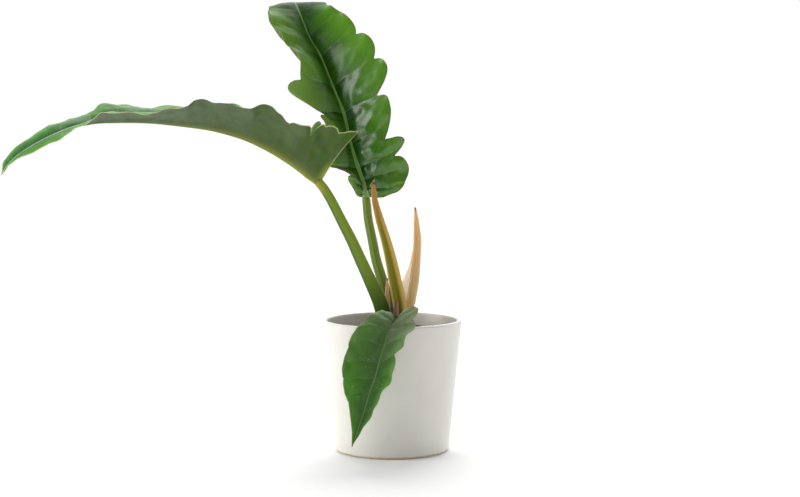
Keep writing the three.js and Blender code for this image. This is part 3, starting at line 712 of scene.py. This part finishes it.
def blade(name, leaf, finish):
    """A thin closed skin. Each ring runs out along the glossy face from the left margin to the right one,
    and back along the dull face, which lies a thickness and the round midrib lower. Waves lift both faces
    alike and die out at the midrib. What is left of the halves' values are its marks, and under is 1 on the
    dull face."""
    tip = len(leaf["veins"]) - 1
    row = np.linspace(0, tip - TIP_GAP, tip * ROWS_PER_VEIN + 1)
    left = half_blade(leaf, -1, row)
    right = half_blade(leaf, 1, row)
    middle = left["places"].shape[1] - 1
    whole = {key: np.concatenate([left[key][:, :0:-1], right[key]], axis=1) for key in left}
    places, ridge, depth = (whole.pop(key) for key in ("places", "ridge", "depth"))
    normal = unit(np.cross(np.gradient(places, axis=1), np.gradient(places, axis=0)))
    margins = np.array(leaf["veins"])[:, 1:]
    span = through(margins[:, 1], row) - through(margins[:, 0], row)
    out_of_face = unit(np.cross(span, np.gradient(places[:, middle], axis=0)))[:, None]
    off_margin = np.clip(whole["edge"] / MARGIN_WIDTH, 0, 1)
    thickness = MARGIN_THICKNESS + (BLADE_THICKNESS - MARGIN_THICKNESS) * off_margin
    off_rib = np.clip(whole["rib"] / 3, 0, 1)
    uneven = knots_at(leaf["unevenness"], row)[:, None] * waves(places, UNEVEN_SIZE, leaf["seed"]) * off_rib
    grain = uneven[..., None] * normal
    upper = places + grain + out_of_face * ridge[..., None]
    lower = places + grain - normal * thickness[..., None] - out_of_face * depth[..., None]
    rings = np.concatenate([upper, lower[:, ::-1]], axis=1)
    marks = {key: np.concatenate([value, value[:, ::-1]], axis=1) for key, value in whole.items()}
    marks["under"] = np.concatenate([0 * off_rib, 0 * off_rib + 1], axis=1)
    loft(name, rings, finish, [name], marks)


def leaf_finish(name, leaf, roughness, specular, coat):
    """The blade's skin. The glossy face is darkest beside the midrib, partly its own tone and partly painted
    shade, and below each side vein, which is painted shade, brighter towards the margin, finely lined along
    the veins, and tinted and shaded by the leaf's own marks: the tint is partly its own tone and partly a
    painted sheen and highlight, and the shadow is painted shade. Its side veins and midrib are paler, and
    specks of dust lie on it. The dull face is greyer, and its midrib yellowish near the stalk. Both have a
    hem of their own colour and are withered in the deep notches, and the far end can lose its gloss."""
    made = Finish(name, Specular_IOR_Level=specular, Coat_Roughness=0.24)
    vein = made.mark("vein")
    out = made.mark("out")
    edge = made.mark("edge")
    rib = made.mark("rib")
    off_line = abs(vein - vein.math("ROUND", vein)) * made.mark("spacing")
    vein_line = (1 - rise(off_line, 0.1, 0.8)) * made.mark("line") * rise(rib, 0.9, 1.3) * rise(edge, 0.5, 5)
    stripe = made.node("CombineXYZ", {}, {"X": vein * 18, "Y": out * 1.5, "Z": made.mark("side") * 5})
    stripes = made.noise(1, 3, stripe)
    patches = made.noise(26, 3)
    # Darker beside the midrib, partly the leaf's own tone and partly painted shade, and brighter towards the
    # margin.
    outward = rise(out + patches * 0.6, 0.4, 1.3)
    # Painted shade: darker just below each side vein near the midrib, where the pleat turns from the light.
    painted_shade_below_vein = rise(vein.math("FRACT", vein), 0.35, 1.0) * (1 - rise(out, 0.1, 0.8))
    top = made.mix(outward, paint(leaf["deep"]), paint(leaf["bright"]))
    top = made.mix(rise(stripes, 0.42, 0.75) * 0.4, top, paint(leaf["bright"]))
    # The tint is partly the leaf's own tone and partly a painted sheen and highlight; the shadow mark is
    # painted shade.
    top = made.mix(made.mark("tint_and_sheen"), top, paint(leaf["tint_and_sheen"]))
    top = made.mix(made.mark("shadow"), top, paint(leaf["dark"]))
    top = made.mix(painted_shade_below_vein * leaf["shade"], top, paint(leaf["dark"]))
    top = made.mix(vein_line, top, paint(leaf["line"]))
    midrib = 1 - rise(rib, leaf["midrib_width"] - 0.15, leaf["midrib_width"] + 0.15)
    midrib_tone = made.mix(rise(vein, 1.5, 3.2), paint(leaf["midrib_foot"]), paint(leaf["midrib"]))
    top = made.mix(midrib, top, midrib_tone)
    top = made.mix(rise(made.noise(1.8, 0), 0.77, 0.81) * leaf["dust"], top, paint("b4c4a0"))
    far = rise(vein, 3, 12)
    back = made.mix(far, paint(leaf["back"]), paint(leaf["back_far"]))
    back = made.mix(rise(patches, 0.4, 0.7) * 0.35, back, paint(leaf["back_bright"]))
    back = made.mix(rise(made.noise(8, 4), 0.42, 0.66) * 0.4, back, paint(leaf["back_dark"]))
    back = made.mix(vein_line * 0.5, back, paint(leaf["back_bright"]))
    back_rib = (1 - rise(rib, 0.1, 1.3)) * (1 - far * 0.8)
    back = made.mix(back_rib, back, paint(leaf["back_midrib"]))
    stalk_end = (1 - rise(vein, 0.2, 1.8)) * (1 - rise(out, 0.15, 0.5))
    back = made.mix(stalk_end, back, paint(leaf["back_midrib"]))
    under = rise(made.mark("under"), 0.4, 0.6)
    skin = made.mix(under, top, back)
    hemmed = made.mix((1 - rise(edge, 0.3, leaf["hem"])) * made.mark("pale"), skin, paint(leaf["margin"]))
    withered = rise(made.mark("cut"), 0.12, 0.24) * (1 - rise(edge, 0.4, 2))
    dull = rise(vein, 6.5, 8.8) * leaf["dull_tip"]
    made.feed(made.shader, {
        "Base Color": made.mix(withered * 0.8, hemmed, paint("70502e")),
        "Roughness": roughness + stripes * 0.1 + under * leaf["dullness"] + dull * 0.5,
        "Coat Weight": (1 - dull) * coat,
    })
    wide = rise(made.mark("spacing"), 6, 24)
    made.relief(vein_line * (under - 0.5) * 0.6 + stripes * wide * 0.22 + made.noise(2.5, 2) * 0.05)
    return made


# The table of a leaf. veins has a row for each side vein, from the stalk to the tip, with the points of the
# midrib, the left margin and the right one. The other lists are broken lines through pairs of row and value,
# which hold on beyond their ends. spread is the share of the way to the margin that the blade goes, slant is
# how many rows nearer to the stalk it is met there, notches cut in by shares of it, and lean draws the lobes
# to the tip. bow is in rows, and arch, swelling, ruffle and unevenness are heights. rib is the midrib's half
# width, and ridge the share of it that stands out of the glossy face. tint, shadow, lines and pale are how
# strong those colours are, and hem is the width of the one along the margin. The shadow and the shade below
# the side veins are painted shade, and the tint is partly the leaf's own tone and partly a painted sheen and
# highlight.
GREEN_BACK = {
    "back": "6f8a58",
    "back_far": "7d9164",
    "back_bright": "8aa272",
    "back_midrib": "9aac5c",
    "back_dark": "5f7848",
}
UPRIGHT = {
    "veins": [
        [(-26, 24, 253), (-31, 24, 253), (-21, 24, 253)],
        [(-27, 25, 257), (-37, 20, 256), (-4, 14, 255)],
        [(-28, 26, 262), (-45, 17, 273), (12, 8, 265)],
        [(-30, 28, 270), (-54, 15, 277), (17, 8, 289)],
        [(-34, 30, 282), (-74, 17, 291), (12, 10, 313)],
        [(-42, 35, 306), (-69, 21, 325), (-1, 16, 345)],
        [(-49, 43, 337), (-105, 24, 359), (-4, 26, 384)],
        [(-60, 51, 363), (-94, 34, 390), (-21, 38, 413)],
        [(-73, 62, 395), (-113, 48, 416), (-40, 54, 433)],
        [(-85, 72, 415), (-126, 62, 434), (-58, 74, 445)],
        [(-97, 92, 443), (-128, 98, 447), (-69, 98, 452)],
        [(-103, 115, 454), (-132, 128, 445), (-66, 128, 445)],
        [(-102, 140, 447), (-131, 150, 433), (-69, 150, 433)],
        [(-99, 164, 418), (-119, 170, 416), (-75, 172, 408)],
        [(-91, 178, 392), (-101, 181, 394), (-80, 183, 388)],
        [(-83, 186, 366), (-83, 186, 366), (-83, 186, 366)],
    ],
    "left": {
        "slant": [(0, 0)],
        "notches": [(0, 0), (2.5, 0.5), (5.5, 0.47), (6.5, 0.18), (8, 0.04), (15, 0)],
        # The tint here is partly this half's own paler tone and partly painted light, a highlight on its
        # lobe.
        "tint_and_sheen": [(4.8, 0.4), (5.4, 1), (6.4, 1), (6.8, 0.3), (8.5, 0.3), (10, 0.6)],
        "shadow": [(3.5, 0.4), (5, 0.25), (9, 0.25), (10.2, 0.85)],
    },
    "right": {
        "slant": [(0, 0), (4, 0.3), (10, 0.3), (14, 0)],
        "notches": [
            (0, 0), (3.75, 0.26), (4.5, 0.32), (5.75, 0.3), (6.75, 0.17), (7.75, 0.17), (9.75, 0.03),
            (11.5, 0.1), (13, 0.1), (15, 0),
        ],
        "tint_and_sheen": [(0, 0)],
        "shadow": [(3.5, 0.4), (6, 0.1), (9, 0.1), (10.2, 0.85)],
    },
    "spread": [(0, 1)],
    "lean": [(5.5, 2), (7, 1.35)],
    "bow": [(0, 0), (4, 0.25), (6, 0.4), (8, 0.15), (15, 0)],
    "arch": [(0, 0), (3, 3), (6, 3), (9, 2.4), (13, 2), (15, 0)],
    "swelling": [(0, 0), (2, 2), (4, 2.6), (8, 2.2), (9.5, 1.6), (13, 1.2), (15, 0)],
    "ruffle": [(0, 0), (3, 2), (9, 2), (13, 1), (15, 0)],
    "rib": [(0, 4.2), (2, 2.8), (5, 2.3), (7, 1.7), (8, 1.3), (10, 0.8), (15, 0.5)],
    "ridge": 0.45,
    "unevenness": [(0, 0.9), (5, 0.5), (7, 0.2)],
    "lines": [(2.5, 0), (4, 0.3), (8.2, 0.25), (9, 0.06)],
    "pale": [(0, 0.5), (15, 0.7)],
    "hem": 1.0,
    "seed": 21,
    "deep": "295c0a",
    "dark": "163f04",
    "shade": 0.65,
    "bright": "5f9a14",
    "tint_and_sheen": "a4d258",
    "tint_inside": 0.1,
    "line": "7fa650",
    "midrib": "7ca655",
    "midrib_foot": "94b468",
    "midrib_width": 1.05,
    "margin": "786c3a",
    **GREEN_BACK,
    "dullness": 0.25,
    "dull_tip": 0.9,
    "dust": 0.1,
}

upright_skin = leaf_finish("glossy_green_leaf", UPRIGHT, roughness=0.24, specular=0.2, coat=0.85)
blade("blade_upright", UPRIGHT, upright_skin)


def stalk_finish(name, towards, light, dark, foot, top):
    """A stalk's green skin, lighter where its front mark and towards times its side mark are high, which is
    painted light and shade, finely streaked along, darker at the foot, which is painted shade, and of
    another tone where it runs into the blade."""
    made = Finish(name, Specular_IOR_Level=0.2, Coat_Weight=0.05, Coat_Roughness=0.25)
    lines = streaks(made, 6, 4)
    lit = rise(made.mark("front") * 0.6 + made.mark("side") * towards + lines * 0.5, -0.3, 0.9)
    green = made.mix(lit, paint(dark), paint(light))
    green = made.mix(rise(made.mark("along"), 0.88, 1.0) * 0.8, green, paint(top))
    made.feed(made.shader, {
        "Base Color": made.mix(1 - rise(made.mark("along"), 0.1, 0.5), green, paint(foot)),
        "Roughness": 0.36 + lines * 0.16,
    })
    made.relief(lines * 0.2)
    return made


ribbed_stalk = stalk_finish(
    "ribbed_green_stalk", towards=0.4, light="7c9038", dark="46621f", foot="3a4e14", top="76904a",
)
stem(
    "petiole_upright",
    path=[
        (-1, 13, 112), (-1, 13, 126), (-3, 12.5, 138), (-6, 12, 155), (-10, 13, 170), (-16, 16, 190),
        (-20, 19, 210), (-24, 23, 230), (-25.6, 25.4, 245), (-26.4, 26.2, 252), (-27.4, 27.4, 259),
    ],
    facing=FRONT,
    across=[(0, 5.5), (0.3, 5.4), (0.7, 4.6), (0.94, 4.2), (1, 2.6)],
    deep=[(0, 5.2), (0.3, 5), (0.94, 4.2), (1, 2.6)],
    finish=ribbed_stalk, ribs=11, rib_height=0.16,
)

# Arching leaf: the longest, on the thickest stalk. It is folded up along its midrib like a gutter, so its
# dull greyish back shows at the near side, and it bends over to the left under its own weight.
ARCHING = {
    "veins": [
        [(-71, -18, 270), (-31, -44, 321), (-46, -2, 316)],
        [(-74, -18, 273), (-38, -46, 321), (-52, -1, 319)],
        [(-78, -19, 276), (-47, -47, 321), (-57, 0, 321)],
        [(-82, -20, 279), (-59, -49, 327), (-64, 1, 325)],
        [(-88, -21, 284), (-72, -51, 328), (-72, 2, 331)],
        [(-100, -23, 293), (-89, -54, 328), (-90, 2, 319)],
        [(-120, -26, 305), (-116, -58, 345), (-118, 4, 340)],
        [(-144, -29, 316), (-147, -62, 344), (-152, 6, 346)],
        [(-173, -31, 324), (-179, -66, 351), (-184, 6, 346)],
        [(-202, -32, 328), (-206, -68, 343), (-215, 4, 345)],
        [(-236, -32, 331), (-243, -68, 338), (-255, 4, 344)],
        [(-268, -31, 331), (-274, -62, 339), (-286, 2, 348)],
        [(-295, -29, 329), (-301, -54, 325), (-312, 0, 334)],
        [(-323, -26, 321), (-330, -42, 309), (-340, -3, 326)],
        [(-354, -23, 306), (-360, -33, 296), (-368, -9, 308)],
        [(-375, -20, 291), (-378, -24, 286), (-383, -15, 292)],
        [(-386, -18, 277), (-386, -18, 277), (-386, -18, 277)],
    ],
    "left": {
        "slant": [(0, 0), (2, 2), (6, 0.35), (12, 0.35), (15, 0)],
        "notches": [
            (0, 0), (2, 0), (3.5, 0.08), (4.25, 0.06), (4.75, 0.34), (5.75, 0.26), (7.25, 0.02),
            (8.25, 0.02), (9.5, 0.04), (11.75, 0.04), (13.25, 0.03), (16, 0),
        ],
        "tint_and_sheen": [(0, 0)],
        "shadow": [(0, 0)],
    },
    "right": {
        "slant": [(0, 0), (2, 2), (6, 0.35), (12, 0.35), (15, 0)],
        "notches": [
            (0, 0), (2, 0), (3.5, 0.1), (4.5, 0.12), (5.5, 0.12), (6.25, 0.1), (7, 0.08), (8.5, 0.06),
            (10, 0.06), (11.75, 0.22), (13.25, 0.06), (16, 0),
        ],
        "tint_and_sheen": [(5, 0.8), (7, 0)],
        "shadow": [(0, 0)],
    },
    "spread": [(0, 0.1), (2, 1)],
    "lean": [(0, 1.35)],
    "bow": [(0, 0), (3, 0.15), (12, 0.3), (16, 0)],
    "arch": [(0, 0), (4, 2), (9, 3), (13, 1), (16, 0)],
    "swelling": [(0, 0), (4, 0.2), (6, 1), (8, 1.4), (13, 1), (16, 0)],
    "ruffle": [(0, 0), (4, 0.6), (6, 2), (12, 1.2), (16, 0)],
    "rib": [(0, 4.6), (5, 4.8), (7, 4), (9, 3), (11, 2), (13, 1.1), (16, 0.6)],
    "ridge": 0.12,
    "unevenness": [(0, 0.3), (4, 0.7), (7, 0.6), (9, 0.3), (16, 0.2)],
    "lines": [(1.5, 0), (3, 0.2), (6, 0.2), (16, 0.1)],
    "pale": [(0, 0.3), (1, 0.8), (4.6, 0.8), (5.2, 0.1), (8.6, 0.1), (9, 0.8)],
    "hem": 1.4,
    "seed": 22,
    "deep": "28601f",
    "dark": "1c4a1c",
    "shade": 0.2,
    "bright": "569836",
    "tint_and_sheen": "86ac5c",
    "tint_inside": 0.6,
    "line": "8fbf7c",
    "midrib": "a3b99a",
    "midrib_foot": "a3b99a",
    "midrib_width": 0.9,
    "margin": "c3cf8e",
    "back": "3c5a0a",
    "back_far": "606e56",
    "back_bright": "5f7054",
    "back_midrib": "8a9038",
    "back_dark": "484e36",
    "dullness": 0.2,
    "dull_tip": 0.4,
    "dust": 0,
}

arching_skin = leaf_finish("grey_backed_leaf", ARCHING, roughness=0.38, specular=0.25, coat=0.1)
blade("blade_arching", ARCHING, arching_skin)
smooth_stalk = stalk_finish(
    "smooth_green_stalk", towards=-0.4, light="80982c", dark="30520c", foot="3a580e", top="a09a3c",
)
stem(
    "petiole_arching",
    path=[
        (-5, -3, 112), (-6, -3, 126), (-9, -3.5, 139), (-13, -5, 152), (-22, -8, 172), (-31, -11, 192),
        (-40, -13, 212), (-50, -15, 232), (-60, -17, 252), (-67, -18, 263.5), (-73, -18.5, 271),
    ],
    facing=RIGHT,
    across=[(0.3, 5.4), (1, 4.5)],
    deep=[(0, 7.4), (0.2, 7.6), (0.4, 6.2), (0.75, 5), (1, 4.5)],
    finish=smooth_stalk, ribs=13, rib_height=0.05,
)

# Hanging leaf: an older, smaller one, whose thin stalk passes over the rim and lets the blade hang down in
# front of the pot. Its tip is down, so its left half is at the picture's right. It is dark green and less
# glossy, with a painted greyish sheen near the stalk.
HANGING = {
    "veins": [
        [(5, -66, 140), (10, -68, 146), (0, -66, 146)],
        [(4, -70, 139), (17, -68, 152), (-7, -68, 148)],
        [(1, -76, 137), (26, -72, 150), (-17, -78, 147)],
        [(-3, -84, 131), (23, -75, 134), (-32, -90, 136)],
        [(-7, -91, 118), (12, -80, 119), (-43, -96, 116)],
        [(-12, -95, 102), (4, -83, 100), (-47, -99, 95)],
        [(-16, -97, 87), (0, -86, 83), (-46, -100, 78)],
        [(-21, -98, 73), (-10, -89, 70), (-42, -100, 64)],
        [(-26, -99, 56), (-18, -92, 52), (-39, -100, 47)],
        [(-32, -100, 38), (-29, -97, 35), (-38, -100, 32)],
        [(-38, -100, 21), (-38, -100, 21), (-38, -100, 21)],
    ],
    # On both halves the greyish tint near the stalk is a painted sheen.
    "left": {
        "slant": [(0, 0), (3, 0.3), (7, 0.3), (10, 0)],
        "notches": [(0, 0), (2.75, 0.24), (3.75, 0.2), (4.75, 0.34), (7, 0.03), (10, 0)],
        "tint_and_sheen": [(0, 0.85), (3, 0.8), (4.5, 0.2), (6, 0)],
        "shadow": [(7, 0), (10, 0.3)],
    },
    "right": {
        "slant": [(0, 0), (3, 0.3), (7, 0.3), (10, 0)],
        "notches": [(0, 0), (2.75, 0.05), (4.25, 0.06), (5.75, 0.04), (7.25, 0.05), (10, 0)],
        "tint_and_sheen": [(0, 0.7), (2, 0.5), (4, 0.2), (6, 0.05), (10, 0)],
        "shadow": [(0, 0), (2, 0.1), (4, 0.3), (6, 0.3), (10, 0.4)],
    },
    "spread": [(0, 1)],
    "lean": [(4.75, 1.7), (6, 1.35)],
    "bow": [(0, 0), (3, 0.3), (7, 0.4), (10, 0)],
    "arch": [(0, 0), (3, 2), (7, 2), (10, 0)],
    "swelling": [(0, 0), (2, 1.6), (5, 1.2), (7, 0.8), (10, 0)],
    "ruffle": [(0, 0), (2, 1.2), (7, 0.8), (10, 0)],
    "rib": [(0, 3), (1.5, 1.6), (4, 0.9), (10, 0.5)],
    "ridge": 0.2,
    "unevenness": [(0, 0.8), (5, 0.6), (10, 0.3)],
    # The pale lines along the side veins are partly a painted highlight.
    "lines": [(0, 0), (1.5, 0.13), (5, 0.1), (10, 0.04)],
    "pale": [(0, 0.5)],
    "hem": 1.0,
    "seed": 23,
    "deep": "3a6420",
    "dark": "234808",
    "shade": 0.15,
    "bright": "468c0c",
    "tint_and_sheen": "94987e",
    "tint_inside": 0.6,
    "line": "8aa27a",
    "midrib": "5f8249",
    "midrib_foot": "4e4c3a",
    "midrib_width": 0.65,
    "margin": "9c7e50",
    **GREEN_BACK,
    "dullness": 0.2,
    "dull_tip": 0,
    "dust": 0.2,
}

hanging_skin = leaf_finish("dark_leaf_painted_sheen", HANGING, roughness=0.4, specular=0.22, coat=0.08)
blade("blade_hanging", HANGING, hanging_skin)
stem(
    "petiole_hanging",
    path=[
        (-4, -13.2, 112), (-3.5, -15, 121), (-2.5, -20, 127), (-1, -30, 131.5), (1.5, -44, 135),
        (3.5, -56, 137), (4.5, -64, 138.5), (4.5, -68, 138.5),
    ],
    facing=UP,
    across=[(0, 3.4), (0.94, 3), (1, 2)],
    deep=[(0, 3.4), (0.94, 2.8), (1, 1.8)],
    finish=smooth_stalk, ribs=9, rib_height=0.05,
)

# Studio: a plain pale floor that runs out to the horizon and glows faintly, a large soft box at the left, a
# soft light from high behind, and a pale surround, brightest behind the plant and at its right, which the
# camera sees as plain white. The camera stands where the photograph was taken from.
FLOOR_HALF = 30
FLOOR_GLOW = 0.07
SUN_ELEVATION = 47
SUN_STRENGTH = 2.3
SUN_SOFTNESS = 58
BOX_PLACE = (-2, -0.25, 0.75)
BOX_TURN = 83
BOX_WIDTH = 1.4
BOX_HEIGHT = 1.46
BOX_POWER = 29
SURROUND_DIM = 0.25
SURROUND_BRIGHT = 1.05
SEEN_STRENGTH = 1.0
floor_mesh = bpy.data.meshes.new("floor")
floor_corners = FLOOR_HALF * np.array([(-1, -1, 0), (1, -1, 0), (1, 1, 0), (-1, 1, 0)])
floor_mesh.from_pydata(floor_corners.tolist(), [], [(0, 1, 2, 3)])
floor_paint = Finish(
    "pale_floor", Base_Color=paint("f8f8f8"), Roughness=0.9,
    Emission_Color=paint("ffffff"), Emission_Strength=FLOOR_GLOW,
)
floor_mesh.materials.append(floor_paint.material)
floor = bpy.data.objects.new("floor", floor_mesh)
bpy.context.scene.collection.objects.link(floor)

sun_light = bpy.data.lights.new("back_light", "SUN")
sun_light.energy = SUN_STRENGTH
sun_light.angle = math.radians(SUN_SOFTNESS)
sun = bpy.data.objects.new("back_light", sun_light)
sun.rotation_euler = (math.radians(90 - SUN_ELEVATION), 0, math.radians(180))
bpy.context.scene.collection.objects.link(sun)

box_light = bpy.data.lights.new("soft_box", "AREA")
box_light.shape = "RECTANGLE"
box_light.size = BOX_WIDTH
box_light.size_y = BOX_HEIGHT
box_light.energy = BOX_POWER
soft_box = bpy.data.objects.new("soft_box", box_light)
soft_box.location = BOX_PLACE
soft_box.rotation_euler = (math.radians(90), 0, math.radians(-BOX_TURN))
bpy.context.scene.collection.objects.link(soft_box)

world = bpy.data.worlds.new("studio")
bpy.context.scene.world = world
world.use_nodes = True
nodes = world.node_tree.nodes
links = world.node_tree.links
nodes["Background"].inputs["Color"].default_value = (1, 1, 1, 1)
direction = nodes.new("ShaderNodeTexCoord")
brightest = nodes.new("ShaderNodeVectorMath")
brightest.operation = "DOT_PRODUCT"
brightest.inputs[1].default_value = (0.5, 1, -0.5)
links.new(direction.outputs["Generated"], brightest.inputs[0])
backdrop = nodes.new("ShaderNodeMapRange")
backdrop.interpolation_type = "SMOOTHSTEP"
backdrop.inputs["From Min"].default_value = -0.6
backdrop.inputs["From Max"].default_value = 0.6
backdrop.inputs["To Min"].default_value = SURROUND_DIM
backdrop.inputs["To Max"].default_value = SURROUND_BRIGHT
links.new(brightest.outputs["Value"], backdrop.inputs["Value"])
seen = nodes.new("ShaderNodeLightPath")
strength = nodes.new("ShaderNodeMapRange")
strength.inputs["To Max"].default_value = SEEN_STRENGTH
links.new(seen.outputs["Is Camera Ray"], strength.inputs["Value"])
links.new(backdrop.outputs["Result"], strength.inputs["To Min"])
links.new(strength.outputs["Result"], nodes["Background"].inputs["Strength"])
bpy.context.scene.view_settings.view_transform = "Standard"

CAMERA_DISTANCE = 1.8
CAMERA_ELEVATION = math.radians(4.5)
CAMERA_TARGET = (0.008, 0, 0.203)
lens = bpy.data.cameras.new("camera")
lens.lens = 81
lens.sensor_width = 36
camera = bpy.data.objects.new("camera", lens)
camera.location = (
    CAMERA_TARGET[0],
    CAMERA_TARGET[1] - CAMERA_DISTANCE * math.cos(CAMERA_ELEVATION),
    CAMERA_TARGET[2] + CAMERA_DISTANCE * math.sin(CAMERA_ELEVATION),
)
camera.rotation_euler = (math.pi / 2 - CAMERA_ELEVATION, 0, 0)
bpy.context.scene.collection.objects.link(camera)
bpy.context.scene.camera = camera
